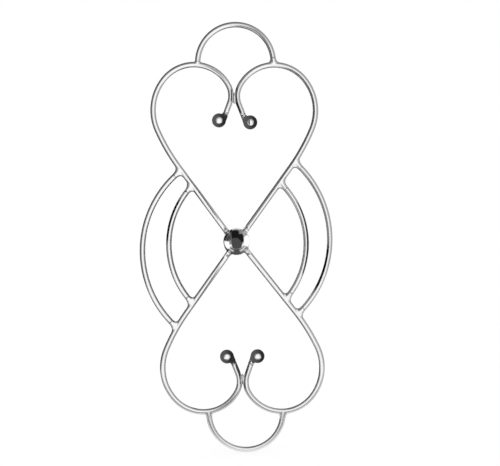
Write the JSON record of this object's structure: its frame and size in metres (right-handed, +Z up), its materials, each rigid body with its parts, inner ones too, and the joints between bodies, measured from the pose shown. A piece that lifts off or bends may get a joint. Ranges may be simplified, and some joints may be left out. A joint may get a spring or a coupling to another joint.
{
  "type": "railing panel",
  "caption": "Railing infill panel of bent polished round rod: two hearts meet tip to tip at a ball, with curled ends, arches and bowed side bars.",
  "frame": {"origin": "centre of the ball where the two hearts meet", "axes": "+Z up the panel, +X to the right seen from the front, +Y away from the viewer through the panel's thickness"},
  "size_m": [0.344, 0.049, 0.7672],
  "materials": {
    "polished_rod": "mirror-polished stainless steel rod",
    "polished_ball": "mirror-polished stainless steel ball",
    "polished_weld": "ground and polished stainless weld metal, a little softer than the rod"
  },
  "bodies": {
    "root": {"scroll_upper_left": "polished_rod", "scroll_upper_right": "polished_rod", "scroll_lower_left": "polished_rod", "scroll_lower_right": "polished_rod", "outer_bar_left": "polished_rod", "outer_bar_right": "polished_rod", "inner_bar_left": "polished_rod", "inner_bar_right": "polished_rod", "top_arch": "polished_rod", "bottom_arch": "polished_rod", "centre_ball": "polished_ball", "end_ball_upper_left": "polished_ball", "end_ball_upper_right": "polished_ball", "end_ball_lower_left": "polished_ball", "end_ball_lower_right": "polished_ball", "side_bar_welds": "polished_weld", "arch_welds": "polished_weld", "centre_ball_welds": "polished_weld", "end_ball_welds": "polished_weld", "lobe_welds": "polished_weld"}
  },
  "joints": []
}
